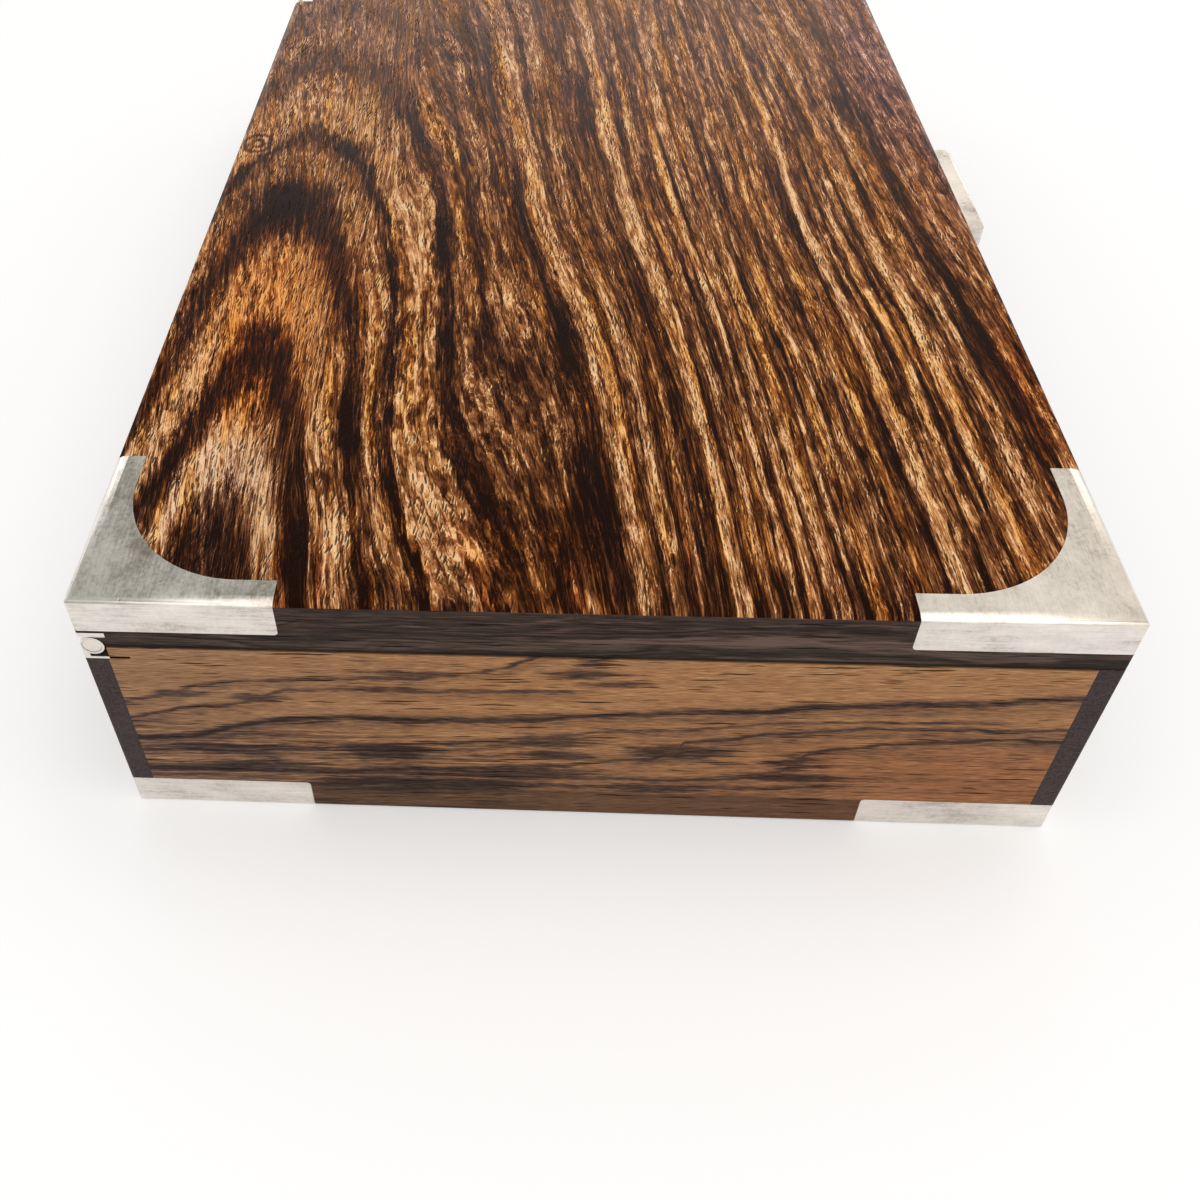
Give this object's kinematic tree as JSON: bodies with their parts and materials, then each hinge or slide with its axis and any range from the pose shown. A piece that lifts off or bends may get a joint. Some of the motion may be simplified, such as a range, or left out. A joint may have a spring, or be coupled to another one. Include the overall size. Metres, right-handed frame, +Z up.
{
  "type": "hinged table box",
  "caption": "Low rectangular wooden table box with a hinged flat lid, let-in metal corner mounts, a full-length barrel hinge and a thumb tab.",
  "frame": {"origin": "centre of the underside of the wooden box, which is the face that it rests on", "axes": "+X along the length and the hinge, +Y from the thumb tab towards the hinge, +Z up from the underside through the lid"},
  "size_m": [0.207, 0.1346, 0.0452],
  "materials": {
    "figured_rosewood": "dark rosewood with golden streaks along the length, satin oiled",
    "dark_rosewood": "grey-brown dark rosewood, open pores, satin oiled",
    "golden_rosewood": "golden brown rosewood with dark streaks, satin oiled",
    "plain_wood": "plain brown hardwood, satin",
    "silver_metal": "brushed silver-coloured metal with fine scratches and wear"
  },
  "bodies": {
    "box": {"front_side": "dark_rosewood", "back_side": "dark_rosewood", "left_end_panel": "golden_rosewood", "right_end_panel": "golden_rosewood", "bottom_panel": "plain_wood", "base_mount_front_left": "silver_metal", "base_mount_front_right": "silver_metal", "base_mount_back_left": "silver_metal", "base_mount_back_right": "silver_metal", "hinge_leaf_box": "silver_metal", "hinge_pin": "silver_metal", "hinge_nails_box": "silver_metal"},
    "lid": {"lid_core": "plain_wood", "lid_top_panel": "figured_rosewood", "lid_inner_panel": "plain_wood", "lid_edge_front": "dark_rosewood", "lid_edge_back": "dark_rosewood", "lid_edge_left": "dark_rosewood", "lid_edge_right": "dark_rosewood", "lid_mount_front_left": "silver_metal", "lid_mount_front_right": "silver_metal", "lid_mount_back_left": "silver_metal", "lid_mount_back_right": "silver_metal", "thumb_tab": "silver_metal", "hinge_leaf_lid": "silver_metal", "hinge_nails_lid": "silver_metal"}
  },
  "joints": [
    {"name": "lid_hinge", "type": "hinge", "parent": "box", "child": "lid", "pos_m": [0, 0.06338, 0.0364], "axis": [-1, 0, 0], "range_deg": [0, 92]}
  ]
}
